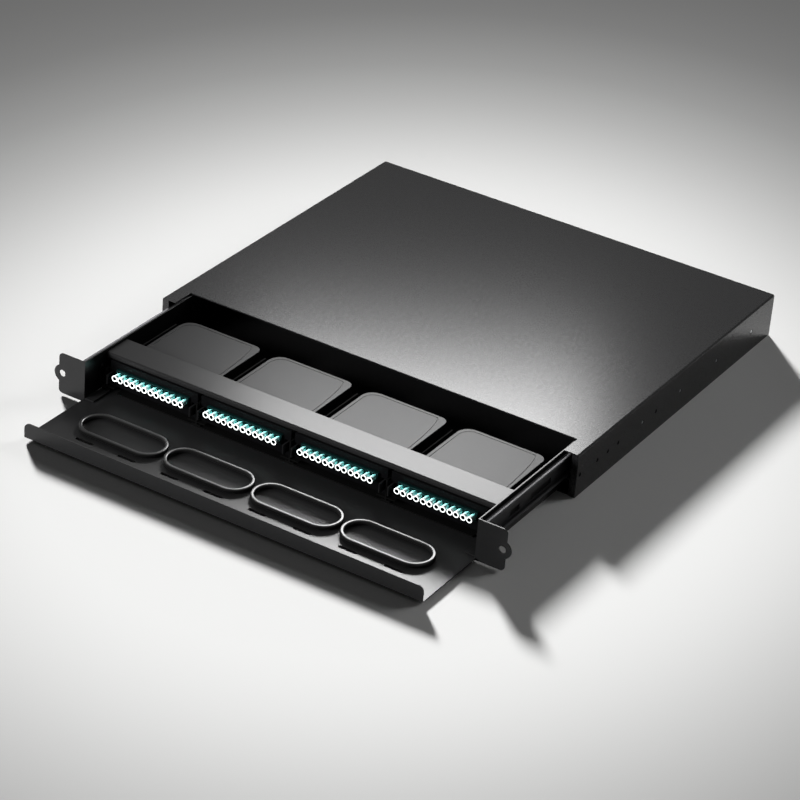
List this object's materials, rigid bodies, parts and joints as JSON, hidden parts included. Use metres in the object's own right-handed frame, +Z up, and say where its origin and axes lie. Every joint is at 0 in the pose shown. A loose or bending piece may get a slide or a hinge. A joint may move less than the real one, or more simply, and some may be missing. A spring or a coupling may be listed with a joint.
{
  "type": "rack fibre distribution box",
  "caption": "Flat black rack drawer for optical fibre: a steel case with a sliding drawer on ball slides, plug-in modules with capped duplex adapters, and a front cord tray with oval rings.",
  "frame": {"origin": "middle of the whole box with the drawer as pictured, at the height of the case's underside", "axes": "+X to the right seen from the front, +Y from the front tray to the rear wall, +Z up; the drawer opens towards -Y"},
  "size_m": [0.4826, 0.6128, 0.044],
  "materials": {
    "case_steel": "matt black powder coat",
    "drawer_steel": "matt black powder coat",
    "slide_steel": "black finished steel",
    "zinc": "zinc plated",
    "rubber": "matt",
    "ring_plastic": "satin",
    "black_plastic": "satin",
    "module_lid": "fine satin",
    "aqua": "satin",
    "trunk_black": "satin",
    "latch_grey": "satin"
  },
  "bodies": {
    "case": {"case_shell": "case_steel", "case_base": "case_steel", "entry_grommet_left": "rubber", "slide_rail_left": "slide_steel", "rail_screw_left_1": "zinc", "rail_screw_left_2": "zinc", "rail_screw_left_3": "zinc", "rail_screw_left_4": "zinc", "entry_grommet_right": "rubber", "slide_rail_right": "slide_steel", "rail_screw_right_1": "zinc", "rail_screw_right_2": "zinc", "rail_screw_right_3": "zinc", "rail_screw_right_4": "zinc"},
    "drawer": {"drawer_side_left": "drawer_steel", "slide_runner_left": "slide_steel", "fibre_spool_left": "black_plastic", "drawer_side_right": "drawer_steel", "slide_runner_right": "slide_steel", "fibre_spool_right": "black_plastic", "drawer_base": "drawer_steel", "module_bed": "drawer_steel", "cover_bar": "drawer_steel", "cord_ring_1": "ring_plastic", "cord_ring_2": "ring_plastic", "cord_ring_3": "ring_plastic", "cord_ring_4": "ring_plastic", "module_guide_1": "black_plastic", "module_guide_2": "black_plastic", "module_guide_3": "black_plastic", "module_guide_4": "black_plastic", "module_guide_5": "black_plastic"},
    "retainer_left": {"ball_retainer_left": "zinc"},
    "retainer_right": {"ball_retainer_right": "zinc"},
    "module_1": {"module_1_housing": "black_plastic", "module_1_lid": "module_lid", "module_1_adapters": "aqua", "module_1_trunk_adapter": "trunk_black"},
    "module_1_latch_left": {"module_1_latch_left": "latch_grey"},
    "module_1_latch_right": {"module_1_latch_right": "latch_grey"},
    "module_2": {"module_2_housing": "black_plastic", "module_2_lid": "module_lid", "module_2_adapters": "aqua", "module_2_trunk_adapter": "trunk_black"},
    "module_2_latch_left": {"module_2_latch_left": "latch_grey"},
    "module_2_latch_right": {"module_2_latch_right": "latch_grey"},
    "module_3": {"module_3_housing": "black_plastic", "module_3_lid": "module_lid", "module_3_adapters": "aqua", "module_3_trunk_adapter": "trunk_black"},
    "module_3_latch_left": {"module_3_latch_left": "latch_grey"},
    "module_3_latch_right": {"module_3_latch_right": "latch_grey"},
    "module_4": {"module_4_housing": "black_plastic", "module_4_lid": "module_lid", "module_4_adapters": "aqua", "module_4_trunk_adapter": "trunk_black"},
    "module_4_latch_left": {"module_4_latch_left": "latch_grey"},
    "module_4_latch_right": {"module_4_latch_right": "latch_grey"}
  },
  "joints": [
    {"name": "drawer_slide", "type": "slide", "parent": "case", "child": "drawer", "axis": [0, -1, 0], "range_m": [-0.1395, 0.1]},
    {"name": "retainer_left_slide", "type": "slide", "parent": "case", "child": "retainer_left", "axis": [0, -1, 0], "range_m": [-0.0699, 0.0502]},
    {"name": "retainer_right_slide", "type": "slide", "parent": "case", "child": "retainer_right", "axis": [0, -1, 0], "range_m": [-0.0699, 0.0502]},
    {"name": "module_1_slide", "type": "slide", "parent": "drawer", "child": "module_1", "axis": [0, -1, 0], "range_m": [0, 0.095]},
    {"name": "module_1_latch_left_pivot", "type": "hinge", "parent": "module_1", "child": "module_1_latch_left", "pos_m": [-0.1975, -0.1754, 0.0188], "axis": [0, 0, 1], "range_deg": [0, 6.5], "stiffness_Nm_per_rad": 0.6},
    {"name": "module_1_latch_right_pivot", "type": "hinge", "parent": "module_1", "child": "module_1_latch_right", "pos_m": [-0.1055, -0.1754, 0.0188], "axis": [0, 0, -1], "range_deg": [0, 6.5], "stiffness_Nm_per_rad": 0.6},
    {"name": "module_2_slide", "type": "slide", "parent": "drawer", "child": "module_2", "axis": [0, -1, 0], "range_m": [0, 0.095]},
    {"name": "module_2_latch_left_pivot", "type": "hinge", "parent": "module_2", "child": "module_2_latch_left", "pos_m": [-0.0965, -0.1754, 0.0188], "axis": [0, 0, 1], "range_deg": [0, 6.5], "stiffness_Nm_per_rad": 0.6},
    {"name": "module_2_latch_right_pivot", "type": "hinge", "parent": "module_2", "child": "module_2_latch_right", "pos_m": [-0.0045, -0.1754, 0.0188], "axis": [0, 0, -1], "range_deg": [0, 6.5], "stiffness_Nm_per_rad": 0.6},
    {"name": "module_3_slide", "type": "slide", "parent": "drawer", "child": "module_3", "axis": [0, -1, 0], "range_m": [0, 0.095]},
    {"name": "module_3_latch_left_pivot", "type": "hinge", "parent": "module_3", "child": "module_3_latch_left", "pos_m": [0.0045, -0.1754, 0.0188], "axis": [0, 0, 1], "range_deg": [0, 6.5], "stiffness_Nm_per_rad": 0.6},
    {"name": "module_3_latch_right_pivot", "type": "hinge", "parent": "module_3", "child": "module_3_latch_right", "pos_m": [0.0965, -0.1754, 0.0188], "axis": [0, 0, -1], "range_deg": [0, 6.5], "stiffness_Nm_per_rad": 0.6},
    {"name": "module_4_slide", "type": "slide", "parent": "drawer", "child": "module_4", "axis": [0, -1, 0], "range_m": [0, 0.095]},
    {"name": "module_4_latch_left_pivot", "type": "hinge", "parent": "module_4", "child": "module_4_latch_left", "pos_m": [0.1055, -0.1754, 0.0188], "axis": [0, 0, 1], "range_deg": [0, 6.5], "stiffness_Nm_per_rad": 0.6},
    {"name": "module_4_latch_right_pivot", "type": "hinge", "parent": "module_4", "child": "module_4_latch_right", "pos_m": [0.1975, -0.1754, 0.0188], "axis": [0, 0, -1], "range_deg": [0, 6.5], "stiffness_Nm_per_rad": 0.6}
  ],
  "couplings": [
    {"joint": "retainer_left_slide", "follows": "drawer_slide", "ratio": 0.5},
    {"joint": "retainer_right_slide", "follows": "drawer_slide", "ratio": 0.5}
  ]
}
